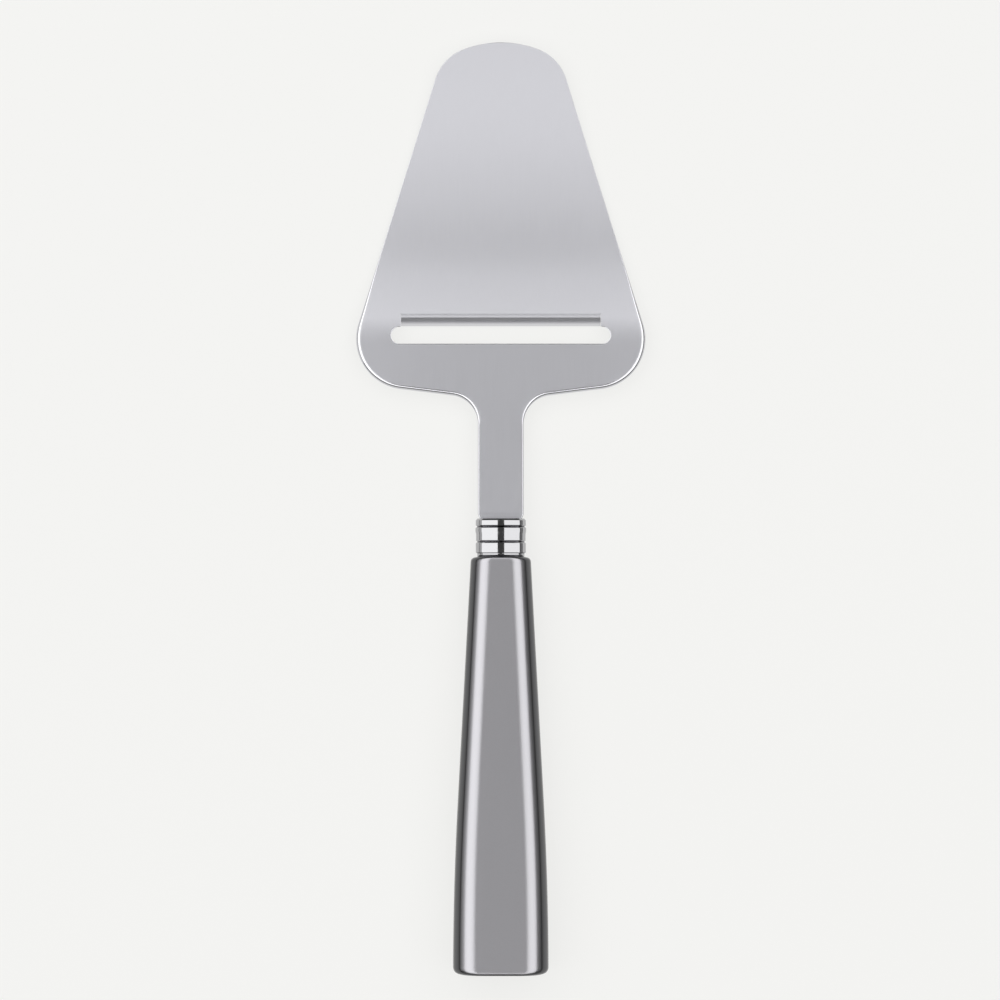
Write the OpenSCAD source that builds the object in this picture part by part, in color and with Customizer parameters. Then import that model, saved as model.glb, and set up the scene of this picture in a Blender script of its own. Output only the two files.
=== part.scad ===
// Cheese slicer: a slotted steel blade with a bent cutting lip, a beaded
// ferrule and a moulded handle. It lies on a table, with the flat underside
// of the handle and the sole of the blade on z = 0. +Y runs from the butt of
// the handle to the tip of the blade, and +Z is up.

/* [Blade] */
// Thickness of the steel sheet
sheet_t = 1.5; // [1:0.1:2]
// Length from the heel, where the neck joins, to the tip
blade_len = 88; // [76:0.5:100]
// Width across the heel, between its corners before they are rounded
heel_w = 79.4; // [70:0.2:86]
// How much further forward the heel's corners lie than its middle
heel_rise = 4.2; // [1:0.2:8]
// Radius of the heel's corners
heel_r = 12.5; // [8:0.5:15]
// Width between the straight sides where they would reach the tip
tip_w = 26.8; // [22:0.2:32]
// Radius of the tip's crown
crown_r = 26.5; // [24:0.5:34]
// Radius of the tip's corners
tip_r = 11.5; // [6:0.5:13]
// Radius of the sole's lengthwise curve
sole_r = 210; // [170:5:320]
// Radius of the bend at the slot, where the sole turns down
slot_bend_r = 52; // [40:1:70]

/* [Slot and lip] */
// Length of the slot over its round ends
slot_len = 54.5; // [51.5:0.1:58]
// Width of the slot
slot_w = 4.2; // [3.4:0.1:5]
// Distance from the heel to the slot
slot_setback = 13.6; // [11:0.2:17]
// Length of the cutting lip
lip_len = 49.3; // [44:0.1:50]
// Distance from the slot to the start of the lip's bend
lip_setback = 3.25; // [3:0.05:4]
// Width of the lip seen from above, from the start of its bend to its edge
lip_reach = 2.95; // [2.7:0.05:3.2]
// Radius of the lip's bend at the middle of the sheet
lip_bend_r = 1.4; // [1.2:0.1:1.8]
// Angle by which the lip is bent down
lip_angle = 38; // [26:1:42]
// Width of the bevel ground on the lip
bevel_w = 1.5; // [1.4:0.05:2.3]
// Thickness left at the cutting edge
edge_t = 0.15; // [0.1:0.05:0.3]
// Width of the cut at each end of the lip
slit_w = 0.15; // [0.1:0.05:0.3]

/* [Neck and tang] */
// Length of the neck, from the ferrule to the heel
neck_len = 29.8; // [22:0.2:36]
// Width of the neck
neck_w = 11.3; // [9:0.1:13]
// Radius between the neck and the heel
neck_r = 7.2; // [3:0.2:9]
// Radius of the shoulders that sit on the ferrule
shoulder_r = 0.5; // [0.4:0.1:1.2]
// Width of the tang
tang_w = 6; // [4.5:0.1:6.6]
// Length of the tang, from the shoulders to its end
tang_len = 75; // [50:1:90]
// Radius of the corners at the tang's end
tang_r = 1; // [0.5:0.1:2]
// Diameter of the holes that key the tang into its adhesive
key_hole_d = 3; // [2:0.1:3.6]
// Distance of each key hole from the tang's end
key_hole_at = [10, 35]; // [6:1:48]

/* [Ferrule] */
// Length of the ferrule
ferrule_len = 9.4; // [8.8:0.1:12]
// Width across the grooves
ferrule_w = 11.7; // [11.4:0.1:12.6]
// Thickness across the grooves
ferrule_t = 6.4; // [6:0.1:7.4]
// Radius of the oval's sides at the grooves
ferrule_side_r = 2.5; // [1.9:0.1:2.8]
// Thickness of the wall at the grooves
ferrule_wall = 0.9; // [0.6:0.1:1.1]
// Thickness of the wall that closes the mouth
mouth_wall = 1.2; // [0.8:0.1:2]
// Distance of each bead's middle from the mouth
bead_at = [0.95, 2.95, 7]; // [0.9:0.05:8]
// Width of each bead
bead_w = [1.9, 2.1, 2.8]; // [1.4:0.1:3]
// Height of each bead above the grooves
bead_h = [0.36, 0.45, 0.36]; // [0.2:0.01:0.6]
// Distance of the plain band's middle from the mouth
band_at = 4.55; // [4:0.05:5]
// Width of the plain band
band_w = 1.9; // [1.4:0.1:2.2]
// Height of the plain band above the grooves
band_h = 0.28; // [0.1:0.02:0.34]

/* [Handle] */
// Length of the handle
handle_len = 102.8; // [90:0.2:115]
// Width at the ferrule
handle_front_w = 14.8; // [14:0.1:17]
// Width at the butt
handle_butt_w = 23.55; // [21:0.05:27]
// Thickness at the ferrule
handle_front_t = 10.2; // [9.8:0.1:11.4]
// Thickness at the butt
handle_butt_t = 15.6; // [14:0.1:18]
// Length over which the flared sides ease to parallel at the butt
ease_len = 42; // [20:1:60]
// Radius of the long edges at the ferrule
front_edge_r = 4.8; // [3:0.1:4.8]
// Radius of the long edges at the butt
butt_edge_r = 5.4; // [4:0.1:6.8]
// Rounding of the front face
front_round = 0.6; // [0.3:0.1:1.2]
// Radius of the front's corners seen from above
front_corner_r = 1.2; // [0.6:0.1:1.6]
// Rounding of the butt face
butt_round = 0.8; // [0.5:0.1:1.5]
// Radius of the butt's corners seen from above
butt_corner_r = 1.9; // [1.6:0.1:4]

/* [Fits] */
// Adhesive between the tenon and the ferrule
tenon_gap = 0.15; // [0.1:0.05:0.3]
// Adhesive between the tenon's end and the ferrule's mouth
tenon_end_gap = 0.4; // [0.2:0.1:1]
// Adhesive on each side of the tang in its socket
socket_gap = 0.35; // [0.2:0.05:0.5]
// Adhesive past the end of the tang
socket_end_gap = 2; // [1:0.5:4]
// Clearance of the tang in the ferrule's mouth
mouth_gap = 0.1; // [0.05:0.05:0.2]
// Clearance between the shoulders and the ferrule
shoulder_gap = 0.05; // [0.05:0.05:0.1]

/* [Hidden] */

// Degrees of arc in each straight step of a curve
arc_step = 6;
// Steps in the bends at the slot and the lip, the sole's curve and the handle's curves
bend_steps = 8;
sole_steps = 36;
ease_steps = 6;
round_step = 18;
// Facets of round surfaces, and of the cylinders inside a hull
round_fn = 96;
hull_fn = 32;
// Thickness of a cross-section slice in the handle's hull
slice = 0.01;
// Extra length that carries a cut or an overlap safely past a face
over = 1;
// Share of the sheet's half thickness that the lip's root takes up
root_share = 0.6;

// Slope of the handle's axis, which lays its tapered underside flat
tilt = atan((handle_butt_t - handle_front_t) / 2 / handle_len);
overall_len = handle_len + ferrule_len + neck_len + blade_len;
overall_h = handle_butt_t;
tip_y = overall_len / 2;
heel_y = tip_y - blade_len;
// Middle of the handle's front face, where its axis starts
front_y = handle_len * cos(tilt) + (handle_butt_t / 2 - butt_round) * sin(tilt) - overall_len / 2;
front_z = handle_front_t / 2 * cos(tilt);
shoulder_y = front_y + ferrule_len * cos(tilt) + shoulder_gap;
tang_y = shoulder_y - tang_len;
slot_y = heel_y + slot_setback;
lip_y = slot_y + slot_w + lip_setback;

// Angles of the sheet below level: at the bend's start it follows the handle,
// and at its end it is steep enough for the sole to touch the table
bend_z = front_z - (slot_y - front_y) * tan(tilt);
dive = acos((sole_r + slot_bend_r * cos(tilt) + sheet_t / 2 - bend_z) / (sole_r + slot_bend_r));
sole_y = slot_y + slot_bend_r * (sin(dive) - sin(tilt));
sole_z = bend_z + slot_bend_r * (cos(dive) - cos(tilt));

// Ferrule's oval: centre of the side arcs, and the radius, centre and half angle
// of the wide arcs that run into them
side_arc_x = ferrule_w / 2 - ferrule_side_r;
wide_arc_r = (side_arc_x ^ 2 + ferrule_t ^ 2 / 4 - ferrule_side_r ^ 2) / (ferrule_t - 2 * ferrule_side_r);
wide_arc_y = ferrule_t / 2 - wide_arc_r;
wide_arc_a = atan(side_arc_x / -wide_arc_y);

// Lengths of the hollow in the ferrule and of the tenon inside it
cavity_len = ferrule_len - mouth_wall;
tenon_len = cavity_len - tenon_end_gap;

// Socket of the tang in the handle, measured from the handle's front face
socket_w = tang_w + 2 * socket_gap;
socket_t = sheet_t + 2 * socket_gap;
socket_len = tang_len - ferrule_len + socket_end_gap;

// Outline arcs
function unit(v) = v / norm(v);
function arc(c, r, a0, a1) =
    let (n = ceil(abs(a1 - a0) / arc_step))
    [for (i = [0:n]) c + r * [cos(a0 + (a1 - a0) * i / n), sin(a0 + (a1 - a0) * i / n)]];

// Arc of radius r that rounds corner b of the path a, b, c
function fillet(a, b, c, r) =
    let (
        u = unit(a - b),
        v = unit(c - b),
        half = acos(u * v) / 2,
        middle = b + unit(u + v) * r / sin(half),
        start = b + u * r / tan(half) - middle,
        a0 = atan2(start.y, start.x)
    )
    arc(middle, r, a0, a0 + (180 - 2 * half) * sign(cross(b - a, c - b)));

// Tip: corner arcs that touch the straight sides and run into the crown
heel_corner = [heel_w / 2, heel_y + heel_rise];
side_end = [tip_w / 2, tip_y];
side_dir = unit(side_end - heel_corner);
side_out = [side_dir.y, -side_dir.x];
crown_mid = [0, tip_y - crown_r];
tip_from = side_end - tip_r * side_out - crown_mid;
tip_back = tip_from * side_dir;
tip_run = sqrt(tip_back ^ 2 - tip_from * tip_from + (crown_r - tip_r) ^ 2) - tip_back;
tip_mid = crown_mid + tip_from + tip_run * side_dir;
tip_turn = atan2(tip_mid.y - crown_mid.y, tip_mid.x);

// Right half of the blank's outline, from the end of the tang to the tip
half_outline = concat(
    fillet([0, tang_y], [tang_w / 2, tang_y], [tang_w / 2, shoulder_y], tang_r),
    [[tang_w / 2, shoulder_y]],
    fillet([0, shoulder_y], [neck_w / 2, shoulder_y], [neck_w / 2, heel_y], shoulder_r),
    fillet([neck_w / 2, shoulder_y], [neck_w / 2, heel_y], heel_corner, neck_r),
    fillet([neck_w / 2, heel_y], heel_corner, side_end, heel_r),
    arc(tip_mid, tip_r, atan2(side_out.y, side_out.x), tip_turn),
    arc(crown_mid, crown_r, tip_turn, 90)
);
last = len(half_outline) - 1;
outline = concat(
    half_outline,
    [for (i = [last - 1:-1:0]) [-half_outline[i].x, half_outline[i].y]]
);

// Side view of the sheet: angle below level and height of its middle at y
function sheet_angle(y) =
    y <= slot_y ? tilt
    : y <= sole_y ? asin(sin(tilt) + (y - slot_y) / slot_bend_r)
    : asin(sin(dive) - (y - sole_y) / sole_r);
function sheet_z(y) =
    y <= slot_y ? bend_z + (slot_y - y) * tan(tilt)
    : y <= sole_y ? bend_z + slot_bend_r * (cos(sheet_angle(y)) - cos(tilt))
    : sole_z - sole_r * (cos(sheet_angle(y)) - cos(dive));
function forward(a) = [cos(a), -sin(a)];
function upward(a) = [sin(a), cos(a)];
function on_sheet(y, h) = [y, sheet_z(y)] + h * upward(sheet_angle(y));
sheet_ys = concat(
    [tang_y - over],
    [for (i = [0:bend_steps]) slot_y + (sole_y - slot_y) * i / bend_steps],
    [for (i = [1:sole_steps]) sole_y + (tip_y + over - sole_y) * i / sole_steps]
);
sheet_side = concat(
    [for (y = sheet_ys) on_sheet(y, -sheet_t / 2)],
    [for (i = [len(sheet_ys) - 1:-1:0]) on_sheet(sheet_ys[i], sheet_t / 2)]
);

// Side view of the lip: rooted in the sheet, bent down towards the handle, then
// flat to its ground edge
lip_root = [lip_y, sheet_z(lip_y)];
root_a = sheet_angle(lip_y);
lip_a = root_a - lip_angle;
bend_mid = lip_root - lip_bend_r * upward(root_a);
bend_reach = lip_bend_r * (sin(root_a) - sin(lip_a));
lip_flat = (lip_reach - bend_reach - sheet_t / 2 * sin(lip_a)) / cos(lip_a);
lip_end = bend_mid + lip_bend_r * upward(lip_a) - lip_flat * forward(lip_a);
function in_bend(i, h) = bend_mid + (lip_bend_r + h) * upward(root_a - lip_angle * i / bend_steps);
lip_side = concat(
    [lip_root + over * forward(root_a) + root_share * sheet_t / 2 * upward(root_a)],
    [for (i = [0:bend_steps]) in_bend(i, sheet_t / 2)],
    [
        lip_end + bevel_w * forward(lip_a) + sheet_t / 2 * upward(lip_a),
        lip_end + (edge_t - sheet_t / 2) * upward(lip_a),
        lip_end - sheet_t / 2 * upward(lip_a)
    ],
    [for (i = [bend_steps:-1:0]) in_bend(i, -sheet_t / 2)],
    [lip_root + over * forward(root_a) - root_share * sheet_t / 2 * upward(root_a)]
);

// Handle's cross-section at distance s from its front face
ease_at = handle_len - ease_len;
flare = (handle_butt_w - handle_front_w) / 2 / (handle_len - ease_len / 2);
function half_w(s) =
    handle_front_w / 2 + flare * (s - (s > ease_at ? (s - ease_at) ^ 2 / 2 / ease_len : 0));
function half_t(s) = handle_front_t / 2 + (handle_butt_t - handle_front_t) / 2 * s / handle_len;
function edge_r(s) = front_edge_r + (butt_edge_r - front_edge_r) * s / handle_len;

// How far a corner of radius r has drawn in at distance d from the handle's end
function drawn_in(d, r) = d < r ? r - sqrt(r ^ 2 - (r - d) ^ 2) : 0;

// Places children on the handle's axis: x across, y up, z into the handle
module on_axis() {
    translate([0, front_y, front_z])
        rotate([90 - tilt, 0, 0])
            children();
}

// Extrudes a side view, drawn in y and z, to width w across x
module across(w) {
    rotate([90, 0, 90])
        linear_extrude(w, center = true)
            children();
}

// Slot with round ends, and the window that the lip is bent out of
module slot_cut() {
    translate([0, slot_y + slot_w / 2]) {
        square([slot_len - slot_w, slot_w], center = true);
        for (side = [-1, 1])
            translate([side * (slot_len - slot_w) / 2, 0])
                circle(d = slot_w, $fn = round_fn);
    }
    translate([-lip_len / 2 - slit_w, slot_y + slot_w / 2])
        square([lip_len + 2 * slit_w, lip_y - slot_y - slot_w / 2]);
}

// Formed sheet before the slot is cut: blade, neck and tang in one piece
module blank() {
    intersection() {
        across(heel_w)
            polygon(sheet_side);
        linear_extrude(overall_h)
            difference() {
                polygon(outline);
                for (at = key_hole_at)
                    translate([0, tang_y + at])
                        circle(d = key_hole_d, $fn = round_fn);
            }
    }
}

// Section of the ferrule's wall where its grooves have radius r: distance from
// the arc's centre, and from the mouth
module ferrule_section(r) {
    intersection() {
        translate([r - ferrule_wall, 0])
            square([ferrule_wall + over, ferrule_len]);
        union() {
            square([r, ferrule_len]);
            translate([0, band_at - band_w / 2])
                square([r + band_h, band_w]);
            for (i = [0:len(bead_at) - 1]) {
                bead_r = (bead_w[i] ^ 2 / 4 + bead_h[i] ^ 2) / (2 * bead_h[i]);
                translate([r + bead_h[i] - bead_r, bead_at[i]])
                    circle(r = bead_r, $fn = round_fn);
            }
        }
    }
}

// Beaded wall of the ferrule: four arcs that run into each other
module ferrule_ring() {
    for (turn = [0, 180])
        rotate([0, 0, turn]) {
            translate([side_arc_x, 0, 0])
                rotate([0, 0, wide_arc_a - 90])
                    rotate_extrude(angle = 180 - 2 * wide_arc_a, $fn = round_fn)
                        ferrule_section(ferrule_side_r);
            translate([0, wide_arc_y, 0])
                rotate([0, 0, 90 - wide_arc_a])
                    rotate_extrude(angle = 2 * wide_arc_a, $fn = round_fn)
                        ferrule_section(wide_arc_r);
        }
}

// Bar of length h along the axis: the ferrule's oval, drawn in by inset
module oval(inset, h) {
    side_r = ferrule_side_r - inset;
    wide_r = wide_arc_r - inset;
    linear_extrude(h)
        polygon(concat(
            arc([side_arc_x, 0], side_r, wide_arc_a - 90, 90 - wide_arc_a),
            arc([0, wide_arc_y], wide_r, 90 - wide_arc_a, 90 + wide_arc_a),
            arc([-side_arc_x, 0], side_r, 90 + wide_arc_a, 270 - wide_arc_a),
            arc([0, -wide_arc_y], wide_r, 270 - wide_arc_a, 270 + wide_arc_a)
        ));
}

// Tenon of the handle, which carries the ferrule
module tenon(root) {
    translate([0, 0, -tenon_len])
        oval(ferrule_wall + tenon_gap, tenon_len + root);
}

// Socket of the tang through the tenon and into the handle
module socket(lead) {
    translate([-socket_w / 2, -socket_t / 2, -tenon_len - lead])
        cube([socket_w, socket_t, lead + tenon_len + socket_len]);
}

// One slice of the handle at s, drawn in by inset all round and by narrow at its sides
module handle_slice(s, inset = 0, narrow = 0) {
    for (side = [-1, 1], up = [-1, 1])
        translate([side * (half_w(s) - narrow - edge_r(s)), up * (half_t(s) - edge_r(s)), s])
            cylinder(r = edge_r(s) - inset, h = slice, $fn = hull_fn);
}

// Rounded, flared bar of the handle
module handle_bar() {
    hull() {
        for (a = [0:round_step:90]) {
            for (r = [front_round, front_corner_r]) {
                d = r * (1 - sin(a));
                handle_slice(d, drawn_in(d, front_round), drawn_in(d, front_corner_r));
            }
            for (r = [butt_round, butt_corner_r]) {
                d = r * (1 - sin(a));
                handle_slice(handle_len - slice - d, drawn_in(d, butt_round), drawn_in(d, butt_corner_r));
            }
        }
        for (i = [0:ease_steps])
            handle_slice(ease_at + (ease_len - butt_corner_r - slice) * i / ease_steps);
    }
}

module blade() {
    color([0.80, 0.80, 0.82]) {
        difference() {
            blank();
            linear_extrude(overall_h)
                slot_cut();
        }
        across(lip_len)
            polygon(lip_side);
    }
}

module ferrule() {
    color([0.90, 0.90, 0.91])
        on_axis()
            translate([0, 0, -ferrule_len]) {
                ferrule_ring();
                difference() {
                    oval(ferrule_wall / 2, mouth_wall);
                    cube([tang_w + 2 * mouth_gap, sheet_t + 2 * mouth_gap, 2 * ferrule_len], center = true);
                }
            }
}

module handle() {
    color([0.45, 0.45, 0.47])
        on_axis()
            difference() {
                union() {
                    handle_bar();
                    tenon(over);
                }
                socket(over);
            }
}

module ferrule_adhesive() {
    color([0.86, 0.82, 0.70])
        difference() {
            on_axis()
                difference() {
                    translate([0, 0, -cavity_len])
                        oval(ferrule_wall, cavity_len);
                    tenon(over);
                }
            blank();
        }
}

module tang_adhesive() {
    color([0.86, 0.82, 0.70])
        difference() {
            on_axis()
                socket(0);
            blank();
        }
}

blade();
ferrule();
handle();
ferrule_adhesive();
tang_adhesive();
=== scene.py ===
# Cheese slicer lying on a pale table, seen from straight above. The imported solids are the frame:
# the blade, the ferrule and the handle are modelled over theirs, and the hidden adhesive stays.
import math

import bmesh
import bpy
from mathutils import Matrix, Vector


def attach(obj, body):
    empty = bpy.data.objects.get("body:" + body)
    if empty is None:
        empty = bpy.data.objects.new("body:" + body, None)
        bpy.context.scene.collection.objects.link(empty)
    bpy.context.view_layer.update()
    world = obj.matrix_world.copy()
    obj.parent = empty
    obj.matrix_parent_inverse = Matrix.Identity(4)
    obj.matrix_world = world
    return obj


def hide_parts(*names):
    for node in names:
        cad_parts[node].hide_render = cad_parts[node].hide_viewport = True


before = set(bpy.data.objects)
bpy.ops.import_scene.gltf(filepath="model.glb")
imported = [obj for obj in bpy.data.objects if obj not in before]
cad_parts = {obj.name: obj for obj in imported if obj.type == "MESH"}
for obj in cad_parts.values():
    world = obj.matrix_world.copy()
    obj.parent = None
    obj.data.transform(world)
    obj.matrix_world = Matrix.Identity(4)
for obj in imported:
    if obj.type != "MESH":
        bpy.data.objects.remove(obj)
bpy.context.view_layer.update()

# Blade: one sheet of stainless steel, blanked in one piece with its neck and tang and pressed to
# a shallow curve. The slot is punched, the strip in front of it is bent down and ground to the
# cutting edge, the faces are left satin, and the outer edge is rounded and polished.
MM = 0.001
sheet_t = 1.5 * MM
tip_y = 115 * MM
heel_y = 27 * MM
heel_w = 79.4 * MM
heel_rise = 4.2 * MM
heel_r = 12.5 * MM
tip_w = 26.8 * MM
crown_r = 26.5 * MM
tip_r = 11.5 * MM
neck_w = 11.3 * MM
neck_r = 7.2 * MM
shoulder_y = -2.60489 * MM
shoulder_cut = Vector((0.4, 1)) * MM
tang_w = 6 * MM
tang_len = 75 * MM
tang_y = shoulder_y - tang_len
tang_r = 1 * MM
key_hole_d = 3 * MM
key_holes_at = (10 * MM, 35 * MM)

# Side view: in line with the handle's axis as far as the slot, bent there, then a long upward curve.
# The axis slopes so that the handle's tapered underside lies flat on the table.
axis_tilt = math.radians(1.504504)
tilt_cos = math.cos(axis_tilt)
tilt_sin = math.sin(axis_tilt)
slot_y = 40.6 * MM
slot_bend_r = 52 * MM
sole_r = 210 * MM
bend_z = 3.715368 * MM
sole_dive = math.acos(
    (sole_r + slot_bend_r * tilt_cos + sheet_t / 2 - bend_z) / (sole_r + slot_bend_r)
)
sole_y = slot_y + slot_bend_r * (math.sin(sole_dive) - tilt_sin)
sole_z = bend_z + slot_bend_r * (math.cos(sole_dive) - tilt_cos)

# Slot, which its rounded edges open to 54.5 mm, and the lip that is bent out of its window
slot_len = 54.2 * MM
slot_w = 4.2 * MM
slot_round = 0.15 * MM
lip_len = 49.3 * MM
lip_y = 48.05 * MM
lip_reach = 2.95 * MM
lip_bend_r = 1.4 * MM
lip_angle = math.radians(38)
lip_bevel_w = 1.5 * MM
lip_edge_t = 0.15 * MM
slit_w = 0.05 * MM

# Rim: rounded above, by a share of rim_round at each place in mm along the blade, and eased below
rim_round = 1.2 * MM
rim_shares = ((-3, 0.12), (20, 0.2), (27, 0.8), (44, 0.8), (60, 0.08), (116, 0.06))
rim_steps = 8
rim_under = 0.25 * MM
rim_ring = 1.3 * MM


def sheet_angle(y):
    """Angle below level of the sheet's middle at y."""
    if y <= slot_y:
        return axis_tilt
    if y <= sole_y:
        return math.asin(tilt_sin + (y - slot_y) / slot_bend_r)
    return math.asin(math.sin(sole_dive) - (y - sole_y) / sole_r)


def sheet_height(y):
    """Height of the sheet's middle at y."""
    turn_cos = math.cos(sheet_angle(y))
    if y <= slot_y:
        return bend_z + (slot_y - y) * math.tan(axis_tilt)
    if y <= sole_y:
        return bend_z + slot_bend_r * (turn_cos - tilt_cos)
    return sole_z - sole_r * (turn_cos - math.cos(sole_dive))


# Steps of the mesh: round its arcs, along its straight lines, and across each bend
arc_step = math.radians(3)
row_step = 1.6 * MM
bend_steps = 10


def arc(middle, radius, start, end):
    """Points on an arc from one angle to another."""
    count = math.ceil(abs(end - start) / arc_step)
    turns = [start + (end - start) * i / count for i in range(count + 1)]
    return [middle + radius * Vector((math.cos(t), math.sin(t))) for t in turns]


def straight(start, end):
    """Points between two others on a straight line."""
    count = math.ceil((end - start).length / row_step)
    return [start.lerp(end, i / count) for i in range(1, count)]


def rounded(before, corner, after, radius):
    """Points on the arc that rounds one corner of a path."""
    into = (before - corner).normalized()
    out = (after - corner).normalized()
    half = into.angle(out) / 2
    middle = corner + (into + out).normalized() * radius / math.sin(half)
    start = corner + into * radius / math.tan(half) - middle
    end = corner + out * radius / math.tan(half) - middle
    first = math.atan2(start.y, start.x)
    sweep = (math.atan2(end.y, end.x) - first + math.pi) % (2 * math.pi) - math.pi
    return arc(middle, radius, first, first + sweep)


# Allowances for picking by place, and the part of a normal that counts as facing a direction
near = 0.1 * MM
same = 0.001 * MM
facing = 0.9


def pick(kind, test):
    """Selects what passes the test, and nothing else, on the mesh in edit mode."""
    modes = {"verts": "VERT", "edges": "EDGE", "faces": "FACE"}
    bpy.ops.mesh.select_mode(type=modes[kind])
    bpy.ops.mesh.select_all(action="DESELECT")
    shape = bmesh.from_edit_mesh(bpy.context.edit_object.data)
    for item in getattr(shape, kind):
        if test(item):
            item.select_set(True)
    shape.select_flush_mode()
    bmesh.update_edit_mesh(bpy.context.edit_object.data)


def extrude(x, y, z):
    """Extrudes what is selected and moves the new part."""
    bpy.ops.mesh.extrude_region_move(TRANSFORM_OT_translate={"value": (x, y, z)})


def resize(x, y, z):
    """Scales what is selected about the origin."""
    bpy.ops.transform.resize(value=(x, y, z), center_override=(0, 0, 0))


def turn(angle, about):
    """Turns what is selected about a line across the slicer."""
    bpy.ops.transform.rotate(value=-angle, orient_axis="X", center_override=about)


def draw(name, points):
    """Draws a line through the points as a new object, vertex by vertex, and stays in edit mode."""
    bpy.ops.object.select_all(action="DESELECT")
    bpy.ops.mesh.primitive_plane_add(size=1 * MM)
    bpy.context.object.name = name
    bpy.context.object.data.name = name
    bpy.ops.object.mode_set(mode="EDIT")
    bpy.ops.mesh.select_mode(type="VERT")
    bpy.ops.mesh.select_all(action="SELECT")
    bpy.ops.mesh.merge(type="CENTER")
    bpy.ops.transform.translate(value=points[0].to_3d())
    for back, point in zip(points, points[1:]):
        step = (point - back).to_3d()
        bpy.ops.mesh.extrude_vertices_move(TRANSFORM_OT_translate={"value": step})
    bpy.ops.mesh.select_all(action="SELECT")
    return bpy.context.object


def finish_solid():
    """Points the normals of the mesh in edit mode outward and leaves edit mode."""
    bpy.ops.mesh.select_all(action="SELECT")
    bpy.ops.mesh.normals_make_consistent(inside=False)
    bpy.ops.object.mode_set(mode="OBJECT")


def apply_modifier(piece, kind, **settings):
    """Adds a modifier to the piece, sets it and applies it."""
    bpy.context.view_layer.objects.active = piece
    modifier = piece.modifiers.new(kind.title(), kind)
    for name, value in settings.items():
        setattr(modifier, name, value)
    bpy.ops.object.modifier_apply(modifier=modifier.name)


def cut(piece, tool, operation="DIFFERENCE"):
    """Cuts the piece with a tool, or joins the tool to it, and clears the tool away."""
    apply_modifier(piece, "BOOLEAN", object=tool, operation=operation, solver="EXACT")
    bpy.data.objects.remove(tool)


def cut_box(piece, middle, size):
    """Cuts a box out of the piece."""
    bpy.ops.mesh.primitive_cube_add(size=1, location=middle, scale=size)
    cut(piece, bpy.context.object)


# Right half of the outline, from the tang's root to the crown of the tip
neck_top = Vector((neck_w / 2, heel_y))
heel_corner = Vector((heel_w / 2, heel_y + heel_rise))
side_end = Vector((tip_w / 2, tip_y))
side = (side_end - heel_corner).normalized()
side_out = Vector((side.y, -side.x))
crown = Vector((0, tip_y - crown_r))
tip_from = side_end - tip_r * side_out - crown
tip_back = tip_from.dot(side)
tip_run = math.sqrt(tip_back ** 2 - tip_from.dot(tip_from) + (crown_r - tip_r) ** 2) - tip_back
tip_corner = crown + tip_from + tip_run * side
tip_turn = math.atan2(tip_corner.y - crown.y, tip_corner.x)
tang_root = Vector((tang_w / 2, shoulder_y))
shoulder = Vector((neck_w / 2 - shoulder_cut.x, shoulder_y))
neck_foot = Vector((neck_w / 2, shoulder_y + shoulder_cut.y))
neck_arc = rounded(neck_foot, neck_top, heel_corner, neck_r)
heel_arc = rounded(neck_top, heel_corner, side_end, heel_r)
tip_arc = arc(tip_corner, tip_r, math.atan2(side_out.y, side_out.x), tip_turn)
crown_arc = arc(crown, crown_r, tip_turn, math.pi / 2)
half_outline = (
    [tang_root, shoulder, neck_foot]
    + neck_arc + straight(neck_arc[-1], heel_arc[0])
    + heel_arc + straight(heel_arc[-1], tip_arc[0])
    + tip_arc + crown_arc[1:]
)
outline = half_outline + [Vector((-p.x, p.y)) for p in half_outline[-2::-1]]

# Blank: the outline, a ring inside it for the rounded rim, and rows across where the sheet bends
last_row_gap = 1.8 * MM
blade = draw("blade_sheet", outline)
bpy.ops.mesh.edge_face_add()
bpy.ops.mesh.inset(thickness=rim_ring, depth=0)
rows = [slot_y + (sole_y - slot_y) * i / bend_steps for i in range(bend_steps + 1)]
while rows[-1] < tip_y - rim_ring - last_row_gap:
    rows.append(rows[-1] + row_step)
for y in rows:
    pick("faces", lambda f: not any(e.is_boundary for e in f.edges))
    bpy.ops.mesh.bisect(plane_co=(0, y, 0), plane_no=(0, 1, 0), threshold=same)
bpy.ops.object.mode_set(mode="OBJECT")

# Pressed onto a former that has the sheet's side view and is longer than it, then given its thickness
former_over = 1 * MM
former_step = 0.4 * MM
former_steps = math.ceil((tip_y + former_over - slot_y) / former_step)
former_ys = [shoulder_y - former_over] + [slot_y + former_step * i for i in range(former_steps)]
former_line = [Vector((-heel_w / 2, y, sheet_height(y) + sheet_t / 2)) for y in former_ys]
former = draw("former", former_line)
extrude(heel_w, 0, 0)
bpy.ops.object.mode_set(mode="OBJECT")
apply_modifier(
    blade, "SHRINKWRAP", target=former, wrap_method="PROJECT",
    use_project_z=True, use_negative_direction=True
)
bpy.data.objects.remove(former)
bpy.ops.object.mode_set(mode="EDIT")
bpy.ops.mesh.select_all(action="SELECT")
extrude(0, 0, -sheet_t)
bpy.ops.mesh.select_all(action="SELECT")
bpy.ops.mesh.normals_make_consistent(inside=False)

# Tang, drawn out of the shoulder, with rounded corners at its end
pick("faces", lambda f: f.normal.y < -facing and abs(f.calc_center_median().x) < near)
extrude(0, -tang_len, tang_len * math.tan(axis_tilt))
pick(
    "edges", lambda e: all(v.co.y < tang_y + same for v in e.verts)
    and abs(e.verts[0].co.x - e.verts[1].co.x) < same
)
bpy.ops.mesh.bevel(offset=tang_r, segments=3, profile=0.5, affect="EDGES")
bpy.ops.object.mode_set(mode="OBJECT")

# An edge bent more than this is one of the sheet's square edges
square_from = math.radians(50)


def on_face(edge, face):
    """True for a square edge on the sheet's upper face, 1, or on its lower face, -1."""
    for v in edge.verts:
        if abs(v.co.z - sheet_height(v.co.y) - face * sheet_t / 2) > near:
            return False
    return edge.calc_face_angle(0) > square_from


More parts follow.
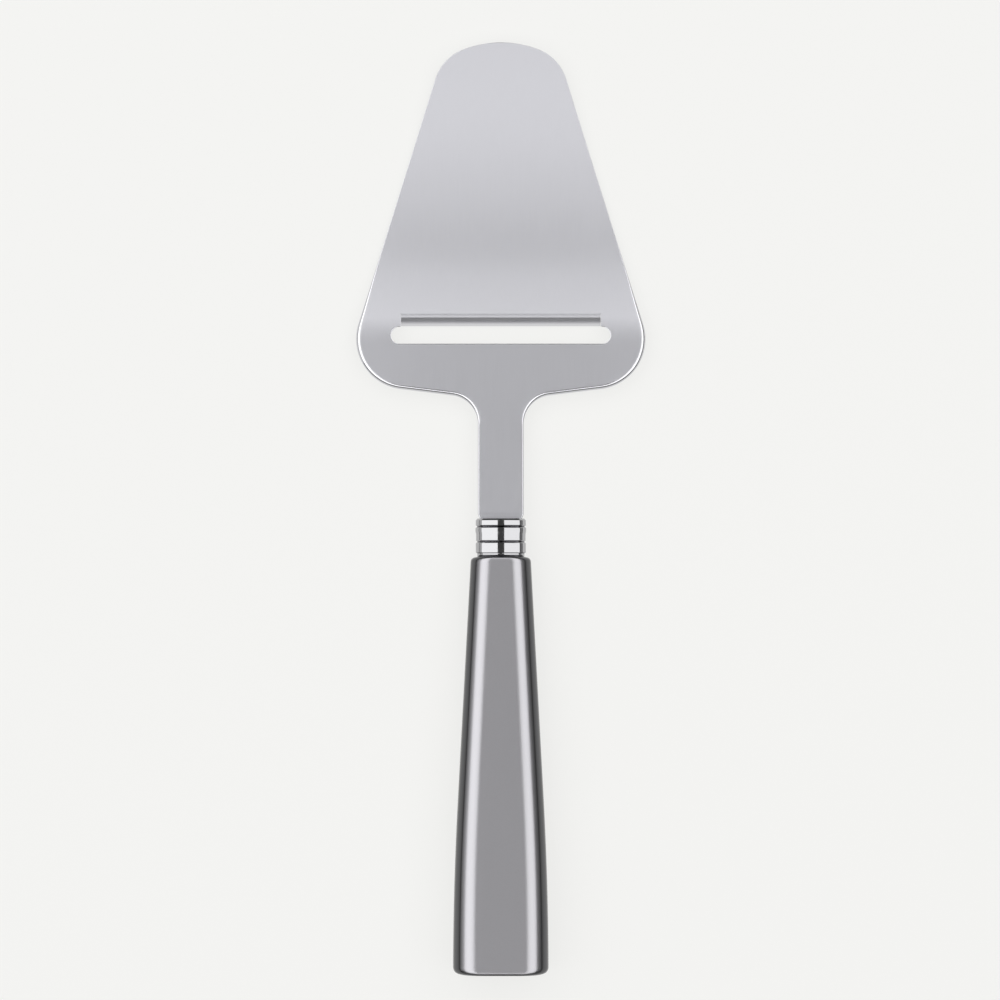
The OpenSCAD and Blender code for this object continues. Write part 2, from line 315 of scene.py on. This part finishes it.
def on_rim(edge, face):
    """True for an edge of the blade's or the neck's outline."""
    return on_face(edge, face) and any(v.co.y > shoulder_y + same for v in edge.verts)


def on_slot(edge, face):
    """True for an edge of the slot's outline, the lip's window left out."""
    middle = (edge.verts[0].co + edge.verts[1].co) / 2
    if not slot_y - near < middle.y < slot_y + slot_w - same:
        return False
    return on_face(edge, face) and abs(middle.x) < slot_len / 2 + near


def hex_linear(code):
    """Linear colour of an sRGB hex value."""
    parts = [int(code[i:i + 2], 16) / 255 for i in (1, 3, 5)]
    return tuple(c / 12.92 if c <= 0.04045 else ((c + 0.055) / 1.055) ** 2.4 for c in parts) + (1,)


def add_node(tree, kind, settings=None, links=None):
    """Adds a node: lower-case settings are its own, the others are its sockets, then its links."""
    node = tree.nodes.new(kind)
    for name, value in (settings or {}).items():
        if isinstance(name, str) and name[0].islower():
            setattr(node, name, value)
        else:
            node.inputs[name].default_value = value
    for name, source in (links or {}).items():
        tree.links.new(source, node.inputs[name])
    return node


def new_material(name):
    """Material with an empty node tree."""
    material = bpy.data.materials.new(name)
    material.use_nodes = True
    material.node_tree.nodes.clear()
    return material, material.node_tree


# Satin stainless steel: fine belt grain along the blade softens what it mirrors to a grey sheen, and
# more so towards the tip. Real grain is about 0.05 mm apart, and it is drawn at 0.25 mm and long, so
# that a trace of it shows. Its wear is the least roughness at places in mm from the slot to the tip.
satin_grain = 0.25 * MM
satin_squeeze = 0.02
satin_spread = 0.05
satin_wear = ((40.6, 0.28), (56, 0.31), (64, 0.297), (80, 0.355), (103, 0.44), (115, 0.425))
satin_steel, tree = new_material("satin_stainless_steel")
place = add_node(tree, "ShaderNodeTexCoord").outputs["Object"]
along = add_node(tree, "ShaderNodeMapping", {"Scale": (1, satin_squeeze, 1)}, {"Vector": place})
grain = add_node(
    tree, "ShaderNodeTexNoise", {"Scale": 1 / satin_grain, "Detail": 3, "Roughness": 0.6},
    {"Vector": along.outputs["Vector"]}
)
axes = add_node(tree, "ShaderNodeSeparateXYZ", None, {"Vector": place})
reach = add_node(
    tree, "ShaderNodeMapRange", {"From Min": slot_y, "From Max": tip_y}, {"Value": axes.outputs["Y"]}
)
wear = add_node(tree, "ShaderNodeFloatCurve", None, {"Value": reach.outputs["Result"]})
wear_points = wear.mapping.curves[0].points
wear_points[0].location = (0, satin_wear[0][1])
wear_points[1].location = (1, satin_wear[-1][1])
for y, value in satin_wear[1:-1]:
    wear_points.new((y * MM - slot_y) / (tip_y - slot_y), value)
wear.mapping.update()
rough = add_node(
    tree, "ShaderNodeMath", {"operation": "MULTIPLY_ADD", 1: satin_spread},
    {0: grain.outputs["Fac"], 2: wear.outputs["Value"]}
)
tone = add_node(
    tree, "ShaderNodeMix", {"data_type": "RGBA", "A": hex_linear("#c7c7cc"), "B": hex_linear("#cbcbd0")},
    {"Factor": grain.outputs["Fac"]}
)
bump = add_node(
    tree, "ShaderNodeBump", {"Strength": 0.05, "Distance": 0.02 * MM}, {"Height": grain.outputs["Fac"]}
)
steel = add_node(
    tree, "ShaderNodeBsdfPrincipled", {"Metallic": 1},
    {
        "Base Color": tone.outputs["Result"], "Roughness": rough.outputs["Value"],
        "Normal": bump.outputs["Normal"]
    }
)
add_node(tree, "ShaderNodeOutputMaterial", None, {"Surface": steel.outputs["BSDF"]})

# Polished stainless edge: the same steel buffed round its rim, a bright line with a trace of the wheel.
# The wheel's marks are finer than 0.1 mm, and are drawn at 0.8 mm so that they show.
rim_marks = 0.8 * MM
edge_steel, tree = new_material("polished_steel_edge")
place = add_node(tree, "ShaderNodeTexCoord").outputs["Object"]
wheel = add_node(tree, "ShaderNodeTexNoise", {"Scale": 1 / rim_marks, "Detail": 2}, {"Vector": place})
rough = add_node(
    tree, "ShaderNodeMapRange", {"To Min": 0.08, "To Max": 0.16}, {"Value": wheel.outputs["Fac"]}
)
steel = add_node(
    tree, "ShaderNodeBsdfPrincipled", {"Metallic": 1, "Base Color": hex_linear("#d8d8dc")},
    {"Roughness": rough.outputs["Result"]}
)
add_node(tree, "ShaderNodeOutputMaterial", None, {"Surface": steel.outputs["BSDF"]})
blade.data.materials.append(satin_steel)
blade.data.materials.append(edge_steel)
edge_slot = 1


def polish_edges(test, face, offset):
    """Rounds the edges that pass the test on one face of the sheet, and polishes the rounding."""
    pick("edges", lambda e: test(e, face))
    bpy.ops.mesh.bevel(offset=offset, segments=2, profile=0.5, affect="EDGES")
    bpy.ops.mesh.select_mode(type="FACE")
    bpy.ops.object.material_slot_assign()


# Rim eased below and rounded above, then the key holes, the slot and the lip's window cut
drill_len = 4 * MM
punch_len = 10 * MM
bpy.ops.object.mode_set(mode="EDIT")
blade.active_material_index = edge_slot
polish_edges(on_rim, -1, rim_under)
for (low, low_share), (high, high_share) in zip(rim_shares, rim_shares[1:]):
    for i in range(rim_steps):
        start = (low + (high - low) * i / rim_steps) * MM
        end = (low + (high - low) * (i + 1) / rim_steps) * MM
        share = low_share + (high_share - low_share) * (i + 0.5) / rim_steps
        pick("edges", lambda e: on_rim(e, 1) and start <= (e.verts[0].co.y + e.verts[1].co.y) / 2 < end)
        bpy.ops.transform.edge_bevelweight(value=share)
bpy.ops.object.mode_set(mode="OBJECT")
apply_modifier(blade, "BEVEL", width=rim_round, segments=6, limit_method="WEIGHT", material=edge_slot)
for at in key_holes_at:
    hole = (0, tang_y + at, sheet_height(tang_y + at))
    bpy.ops.mesh.primitive_cylinder_add(vertices=32, radius=key_hole_d / 2, depth=drill_len, location=hole)
    cut(blade, bpy.context.object)
slot_end_r = slot_w / 2
slot_mid = slot_y + slot_end_r
slot_side = slot_len / 2 - slot_end_r
punch = draw(
    "slot_punch", arc(Vector((slot_side, slot_mid)), slot_end_r, -math.pi / 2, math.pi / 2)
    + arc(Vector((-slot_side, slot_mid)), slot_end_r, math.pi / 2, 3 * math.pi / 2)
)
bpy.ops.mesh.edge_face_add()
extrude(0, 0, punch_len)
finish_solid()
cut(blade, punch)
window_half = lip_len / 2 + slit_w
window_mid = (0, (slot_mid + lip_y) / 2, punch_len / 2)
cut_box(blade, window_mid, (2 * window_half, lip_y - slot_mid, punch_len))
bpy.ops.object.mode_set(mode="EDIT")
polish_edges(on_slot, 1, slot_round)
polish_edges(on_slot, -1, slot_round)

# Lip: drawn out of the window's front wall, bent down, and ground to an edge on its upper side
lip_at = Vector((0, lip_y, sheet_height(lip_y)))
lip_a = sheet_angle(lip_y)
lip_up = Vector((0, math.sin(lip_a), math.cos(lip_a)))
pick("faces", lambda f: f.normal.y < -facing and abs(f.calc_center_median().y - lip_y) < near)
turn(-lip_a, lip_at)
extrude(0, 0, 0)
resize(lip_len / 2 / window_half, 1, 1)
bend_mid = lip_at - lip_bend_r * lip_up
for i in range(bend_steps):
    turn(lip_angle / bend_steps, bend_mid)
    extrude(0, 0, 0)
lip_a -= lip_angle
lip_up = Vector((0, math.sin(lip_a), math.cos(lip_a)))
lip_at = bend_mid + lip_bend_r * lip_up
lip_flat = (lip_reach - lip_y + lip_at.y - sheet_t / 2 * math.sin(lip_a)) / math.cos(lip_a)
lip_along = Vector((0, -math.cos(lip_a), math.sin(lip_a)))
bpy.ops.transform.translate(value=lip_along * (lip_flat - lip_bevel_w))
extrude(*lip_along * lip_bevel_w)
lip_end = lip_at + lip_flat * lip_along + sheet_t / 2 * lip_up
pick("verts", lambda v: (v.co.yz - lip_end.yz).length < near and abs(v.co.x) < lip_len / 2 + near)
bpy.ops.transform.translate(value=lip_up * (lip_edge_t - sheet_t))

# Walls and ground faces are polished, and the line where the grinding starts is left soft
wall_upward = 0.6
crease = math.radians(35)
grind_line = lip_end - lip_bevel_w * lip_along
pick("faces", lambda f: abs(f.normal.z) < wall_upward)
bpy.ops.object.material_slot_assign()
bpy.ops.object.mode_set(mode="OBJECT")
bpy.ops.object.select_all(action="DESELECT")
blade.select_set(True)
bpy.ops.object.shade_smooth_by_angle(angle=crease)
bpy.ops.object.mode_set(mode="EDIT")
pick("edges", lambda e: all((v.co.yz - grind_line.yz).length < near for v in e.verts))
bpy.ops.mesh.mark_sharp(clear=True)
bpy.ops.object.mode_set(mode="OBJECT")
apply_modifier(blade, "WEIGHTED_NORMAL", keep_sharp=True)
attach(blade, "root")
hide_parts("blade")

# Ferrule: a polished stainless collar, a flat oval pressed with three beads and a plain band. It
# is a cap, open to the handle, glued over the handle's tenon, with the tang through its mouth.
ferrule_len = 9.4 * MM
ferrule_w = 11.7 * MM
ferrule_t = 6.4 * MM
ferrule_side_r = 2.5 * MM
ferrule_wall = 0.9 * MM
mouth_wall = 1.2 * MM
mouth_gap = 0.1 * MM
# Middle of the handle's front end, where the ferrule ends
front_y = -12.05165 * MM
front_z = 5.09824 * MM
half_w = ferrule_w / 2
half_t = ferrule_t / 2
side_x = half_w - ferrule_side_r
wide_arc_r = (side_x ** 2 + half_t ** 2 - ferrule_side_r ** 2) / 2 / (half_t - ferrule_side_r)
side_a = math.pi / 2 - math.atan(side_x / (wide_arc_r - half_t))


def oval(inset, z):
    """Points round the ferrule's oval, drawn in by inset: tight arcs at the sides, wide ones between."""
    edge = arc(Vector((side_x, 0)), ferrule_side_r - inset, -side_a, side_a)
    top = arc(Vector((0, half_t - wide_arc_r)), wide_arc_r - inset, side_a, math.pi - side_a)
    half = edge[:-1] + top[:-1]
    return [Vector((way * p.x, way * p.y, z)) for way in (1, -1) for p in half]


def lay_on_axis(piece):
    """Turns a piece that was modelled upright on the handle's axis, and applies its place."""
    bpy.ops.object.select_all(action="DESELECT")
    piece.select_set(True)
    bpy.context.view_layer.objects.active = piece
    piece.rotation_euler = (math.pi / 2 - axis_tilt, 0, 0)
    piece.location = (0, front_y, front_z)
    bpy.ops.object.transform_apply(location=True, rotation=True, scale=True)


# Rings along it: distance from the mouth and height over the plain oval, in mm. The mouth is
# chamfered, and sharp grooves, shallow at the sides, part the beads.
rings = (
    (0, 0.02), (0.42, 0.34), (0.55, 0.36), (1.6, 0.36), (1.7, 0.31), (1.97, -0.5),
    (2.2, 0.33), (2.3, 0.4), (2.6, 0.43), (3, 0.43), (3.35, 0.39), (3.8, 0.3), (4.1, 0.28),
    (5.35, 0.28), (5.45, 0.23), (5.7, -0.5), (5.95, 0.25), (6.05, 0.335), (6.3, 0.36),
    (8.1, 0.36), (8.38, 0.34), (8.5, 0.22), (8.58, 0.02), (8.66, 0), (8.92, 0), (9, -0.06), (9.4, -0.75)
)
back, height = rings[0]
wide = half_w + height * MM
thick = half_t + height * MM
ferrule = draw("ferrule_collar", oval(-height * MM, -ferrule_len))
bpy.ops.mesh.edge_face_add()
pick("edges", lambda e: True)
for at, height in rings[1:]:
    extrude(0, 0, (at - back) * MM)
    now_wide = half_w + max(height, 0) * MM
    now_thick = half_t + height * MM
    resize(now_wide / wide, now_thick / thick, 1)
    back = at
    wide = now_wide
    thick = now_thick
extrude(0, 0, 0)
resize((half_w - ferrule_wall) / wide, (half_t - ferrule_wall) / thick, 1)
extrude(0, 0, mouth_wall - ferrule_len)
bpy.ops.mesh.edge_face_add()
finish_solid()
cut_box(
    ferrule, (0, 0, mouth_wall / 2 - ferrule_len),
    (tang_w + 2 * mouth_gap, sheet_t + 2 * mouth_gap, 3 * mouth_wall)
)

# Polished stainless steel: a near mirror, darker than chrome plate, with a faint trace of the buffing
# wheel. Its marks are finer than 0.1 mm, and are drawn at 1.2 mm so that they show.
collar_marks = 1.2 * MM
mirror_steel, tree = new_material("polished_stainless_steel")
place = add_node(tree, "ShaderNodeTexCoord").outputs["Object"]
wheel = add_node(tree, "ShaderNodeTexNoise", {"Scale": 1 / collar_marks, "Detail": 2}, {"Vector": place})
rough = add_node(
    tree, "ShaderNodeMapRange", {"To Min": 0.04, "To Max": 0.09}, {"Value": wheel.outputs["Fac"]}
)
steel = add_node(
    tree, "ShaderNodeBsdfPrincipled", {"Metallic": 1, "Base Color": hex_linear("#b4b4b6")},
    {"Roughness": rough.outputs["Result"]}
)
add_node(tree, "ShaderNodeOutputMaterial", None, {"Surface": steel.outputs["BSDF"]})
ferrule.data.materials.append(mirror_steel)

bead_crease = math.radians(25)
lay_on_axis(ferrule)
bpy.ops.object.shade_smooth_by_angle(angle=bead_crease)
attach(ferrule, "root")
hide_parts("ferrule")

# Handle: one solid moulding in pearl-grey acrylic, flared to the butt, with a flat face above
# and below between rounded long edges, and a high buffed gloss. Its tenon carries the ferrule,
# and a socket through the tenon takes the tang.
handle_len = 102.8 * MM
handle_front_w = 14.8 * MM
handle_front_t = 10.2 * MM
handle_butt_w = 23.55 * MM
handle_butt_t = 15.6 * MM
front_edge_r = 5.05 * MM
butt_edge_r = 5.95 * MM
edge_segments = 14
edge_fullness = 0.54
front_round = 0.6 * MM
front_corner_r = 1.2 * MM
butt_round = 0.8 * MM
butt_corner_r = 1.9 * MM
ease_len = 42 * MM
ease_steps = 8
tenon_gap = 0.15 * MM
tenon_end_gap = 0.4 * MM
tenon_root = 1 * MM
tenon_len = ferrule_len - mouth_wall - tenon_end_gap
socket_gap = 0.35 * MM
socket_end_gap = 2 * MM
socket_mouth = 1 * MM
socket_len = tang_len - ferrule_len + socket_end_gap
ease_at = handle_len - ease_len
flare = (handle_butt_w - handle_front_w) / 2 / (handle_len - ease_len / 2)


def drawn_in(left, radius):
    """How far a corner of that radius has drawn in, with that much left to the end."""
    return radius - math.sqrt(radius ** 2 - (radius - left) ** 2) if left < radius else 0


# Sections along it, which crowd towards both ends where the corners round, bridged into a solid
end_steps = [left * MM for left in (0, 0.04, 0.15, 0.35, 0.6, 0.95, 1.4)]
ease_stations = [ease_at + (ease_len - butt_corner_r) * i / ease_steps for i in range(ease_steps + 1)]
stations = end_steps + ease_stations + [handle_len - left for left in reversed(end_steps)]
bpy.ops.object.select_all(action="DESELECT")
bpy.ops.mesh.primitive_plane_add(size=1)
handle = bpy.context.object
handle.name = "handle_grip"
handle.data.name = "handle_grip"
bpy.ops.object.mode_set(mode="EDIT")
bpy.ops.mesh.select_all(action="SELECT")
bpy.ops.mesh.delete(type="VERT")
for s in stations:
    share = s / handle_len
    ease = (s - ease_at) ** 2 / 2 / ease_len if s > ease_at else 0
    inset = drawn_in(s, front_round) + drawn_in(handle_len - s, butt_round)
    narrow = inset + drawn_in(s, front_corner_r) + drawn_in(handle_len - s, butt_corner_r)
    width = handle_front_w + 2 * flare * (s - ease) - 2 * narrow
    thick = handle_front_t + (handle_butt_t - handle_front_t) * share - 2 * inset
    edge_r = front_edge_r + (butt_edge_r - front_edge_r) * share - inset
    bpy.ops.mesh.primitive_plane_add(size=1)
    resize(width, thick, 1)
    bpy.ops.transform.translate(value=(0, 0, s))
    bpy.ops.mesh.bevel(offset=edge_r, segments=edge_segments, profile=edge_fullness, affect="VERTICES")
bpy.ops.mesh.select_all(action="SELECT")
bpy.ops.mesh.delete(type="ONLY_FACE")
bpy.ops.mesh.select_all(action="SELECT")
bpy.ops.mesh.bridge_edge_loops(type="SINGLE")
for end in (handle_len, 0):
    pick("verts", lambda v: abs(v.co.z - end) < same)
    bpy.ops.mesh.edge_face_add()
finish_solid()

# Tenon joined to its front, and the socket cut through both
tenon = draw("tenon", oval(ferrule_wall + tenon_gap, -tenon_len))
bpy.ops.mesh.edge_face_add()
extrude(0, 0, tenon_len + tenon_root)
finish_solid()
cut(handle, tenon, "UNION")
cut_box(
    handle, (0, 0, (socket_len - tenon_len - socket_mouth) / 2),
    (tang_w + 2 * socket_gap, sheet_t + 2 * socket_gap, socket_len + tenon_len + socket_mouth)
)
lay_on_axis(handle)

# Pearl-grey acrylic: fine flakes lie along the surface under a clear gloss and mirror softly where
# the face is seen square on. Aslant the colour turns dark. This is partly the flakes' own flop and
# partly painted shade on the rounded long edges, which a lighter dark colour eases a little at a grazing
# angle.
# Flakes of about 0.05 mm are drawn at 0.3 mm so that they show.
flake_size = 0.3 * MM
pearl, tree = new_material("pearl_grey_acrylic")
place = add_node(tree, "ShaderNodeTexCoord").outputs["Object"]
flake = add_node(tree, "ShaderNodeTexNoise", {"Scale": 1 / flake_size, "Detail": 2}, {"Vector": place})
tone = add_node(
    tree, "ShaderNodeMix", {"data_type": "RGBA", "A": hex_linear("#abaaae"), "B": hex_linear("#b2b1b5")},
    {"Factor": flake.outputs["Fac"]}
)
# Painted shade: the colour darkens as the face is seen more aslant, well past the flakes' real flop, and
# lightens a little again at a grazing angle
slant = add_node(tree, "ShaderNodeLayerWeight", {"Blend": 0.5})
flop_and_painted_shade = add_node(
    tree, "ShaderNodeMapRange", {"From Min": 0.1, "From Max": 0.28}, {"Value": slant.outputs["Facing"]}
)
graze = add_node(
    tree, "ShaderNodeMapRange", {"From Min": 0.28, "From Max": 0.45}, {"Value": slant.outputs["Facing"]}
)
shade = add_node(
    tree, "ShaderNodeMix", {"data_type": "RGBA", "A": hex_linear("#323234"), "B": hex_linear("#4c4c4f")},
    {"Factor": graze.outputs["Result"]}
)
colour = add_node(
    tree, "ShaderNodeMix", {"data_type": "RGBA"},
    {"Factor": flop_and_painted_shade.outputs["Result"], "A": tone.outputs["Result"], "B": shade.outputs["Result"]}
)
acrylic = add_node(
    tree, "ShaderNodeBsdfPrincipled",
    {
        "Metallic": 1, "Roughness": 0.3, "Specular Tint": hex_linear("#9a9a9a"),
        "Coat Weight": 1, "Coat Roughness": 0.15, "Coat IOR": 1.49
    },
    {"Base Color": colour.outputs["Result"]}
)
add_node(tree, "ShaderNodeOutputMaterial", None, {"Surface": acrylic.outputs["BSDF"]})
handle.data.materials.append(pearl)
bpy.ops.object.shade_smooth_by_angle(angle=crease)
apply_modifier(handle, "WEIGHTED_NORMAL", keep_sharp=True)
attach(handle, "root")
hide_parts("handle")

# Adhesive: cured epoxy round the tang and under the ferrule, poured in and hidden inside. The packed
# solids stay as they are and only take a material: pale amber, with soft clouds from the stirring.
cloud_size = 2 * MM
epoxy, tree = new_material("cured_epoxy")
place = add_node(tree, "ShaderNodeTexCoord").outputs["Object"]
cloud = add_node(tree, "ShaderNodeTexNoise", {"Scale": 1 / cloud_size, "Detail": 2}, {"Vector": place})
tone = add_node(
    tree, "ShaderNodeMix", {"data_type": "RGBA", "A": hex_linear("#d2c091"), "B": hex_linear("#dccda4")},
    {"Factor": cloud.outputs["Fac"]}
)
resin = add_node(
    tree, "ShaderNodeBsdfPrincipled", {"Roughness": 0.4, "IOR": 1.55},
    {"Base Color": tone.outputs["Result"]}
)
add_node(tree, "ShaderNodeOutputMaterial", None, {"Surface": resin.outputs["BSDF"]})
for name in ("ferrule_adhesive", "tang_adhesive"):
    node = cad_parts[name]
    if not node.material_slots:
        node.data.materials.append(epoxy)
    for slot in node.material_slots:
        slot.material = epoxy

# Table: a wide sheet of pale matt paper. The camera and the reflections see most of it as an even
# glow, and the rest of it takes the slicer's shadow.
floor_size = 40
floor_gap = 0.02 * MM
glow_share = 0.85
bpy.ops.object.select_all(action="DESELECT")
bpy.ops.mesh.primitive_plane_add(size=floor_size, location=(0, 0, -floor_gap))
floor = bpy.context.object
floor.name = "table_sheet"
paper, tree = new_material("pale_paper")
light = add_node(tree, "ShaderNodeLightPath")
seen = add_node(
    tree, "ShaderNodeMath", {"operation": "MAXIMUM"},
    {0: light.outputs["Is Camera Ray"], 1: light.outputs["Is Glossy Ray"]}
)
seen_all = add_node(
    tree, "ShaderNodeMath", {"operation": "MAXIMUM"},
    {0: seen.outputs["Value"], 1: light.outputs["Is Transmission Ray"]}
)
share = add_node(
    tree, "ShaderNodeMath", {"operation": "MULTIPLY", 1: glow_share}, {0: seen_all.outputs["Value"]}
)
matt = add_node(tree, "ShaderNodeBsdfDiffuse", {"Color": hex_linear("#f3f3f1")})
glow = add_node(tree, "ShaderNodeEmission", {"Color": hex_linear("#f3f3f1"), "Strength": 1})
mixed = add_node(
    tree, "ShaderNodeMixShader", None,
    {"Fac": share.outputs["Value"], 1: matt.outputs["BSDF"], 2: glow.outputs["Emission"]}
)
add_node(tree, "ShaderNodeOutputMaterial", None, {"Surface": mixed.outputs["Shader"]})
floor.data.materials.append(paper)

# Light: two long soft boxes overhead, left and right of the camera, which reach further past the
# tip than past the handle, the right one a little weaker and narrower. Strips narrow the dark gap
# between them away from its middle, and low dim walls stand left and right.
box_up = 1.5
box_low_y = -1.15
box_high_y = 2.2
gap_low_y = -0.42
gap_high_y = 0.5
strip_inner = 4
wall_x = 2.6
wall_foot = 0.25
# Way, glow of the box, its inner and outer edge in degrees from straight up, glow and top of the wall
sides = (
    (-1, 1.75, 8.2, 53, 0.6, 1.95),
    (1, 1.62, 8.9, 51.5, 0.2, 1.45)
)
box_mid_y = (box_low_y + box_high_y) / 2
box_len = box_high_y - box_low_y
strip_from = box_up * math.tan(math.radians(strip_inner))


def add_box(at, turned, across, length, glow):
    """Adds an area lamp of that glow at any size, turned about the lengthwise direction."""
    lamp = bpy.data.lights.new("soft_box", "AREA")
    lamp.shape = "RECTANGLE"
    lamp.size = across
    lamp.size_y = length
    lamp.energy = glow * math.pi * across * length
    holder = bpy.data.objects.new("soft_box", lamp)
    holder.location = at
    holder.rotation_euler = (0, turned, 0)
    bpy.context.collection.objects.link(holder)


for way, box_glow, inner, outer, wall_glow, wall_top in sides:
    box_from = box_up * math.tan(math.radians(inner))
    box_to = box_up * math.tan(math.radians(outer))
    add_box((way * (box_from + box_to) / 2, box_mid_y, box_up), 0, box_to - box_from, box_len, box_glow)
    for low, high in ((box_low_y, gap_low_y), (gap_high_y, box_high_y)):
        add_box(
            (way * (strip_from + box_from) / 2, (low + high) / 2, box_up), 0,
            box_from - strip_from, high - low, box_glow
        )
    add_box(
        (way * wall_x, box_mid_y, (wall_foot + wall_top) / 2), way * math.pi / 2,
        wall_top - wall_foot, box_len, wall_glow
    )

# Room: dim all round, with a brighter haze low behind the handle's end
haze_way = (0, -1, -0.6)
room = bpy.data.worlds.new("studio")
room.use_nodes = True
tree = room.node_tree
tree.nodes.clear()
place = add_node(tree, "ShaderNodeTexCoord").outputs["Generated"]
low_back = add_node(tree, "ShaderNodeVectorMath", {"operation": "DOT_PRODUCT", 1: haze_way}, {0: place})
haze = add_node(
    tree, "ShaderNodeMapRange",
    {"interpolation_type": "SMOOTHSTEP", "From Min": 0.3, "From Max": 0.9, "To Min": 0.1, "To Max": 0.6},
    {"Value": low_back.outputs["Value"]}
)
sky = add_node(
    tree, "ShaderNodeBackground", {"Color": hex_linear("#f3f3f1")}, {"Strength": haze.outputs["Result"]}
)
add_node(tree, "ShaderNodeOutputWorld", None, {"Surface": sky.outputs["Background"]})
bpy.context.scene.world = room

# Camera: straight above, on a long lens, framed as in the photo
camera_up = 1.2
view_w = 247.95 * MM
view_x = -0.2 * MM
view_y = 1.965 * MM
sensor_w = 36
far_clip = 100
lens = bpy.data.cameras.new("camera")
lens.sensor_width = sensor_w
lens.lens = sensor_w * camera_up / view_w
lens.clip_end = far_clip
camera = bpy.data.objects.new("camera", lens)
camera.location = (view_x, view_y, camera_up)
bpy.context.collection.objects.link(camera)
bpy.context.scene.camera = camera
bpy.context.scene.view_settings.view_transform = "Standard"
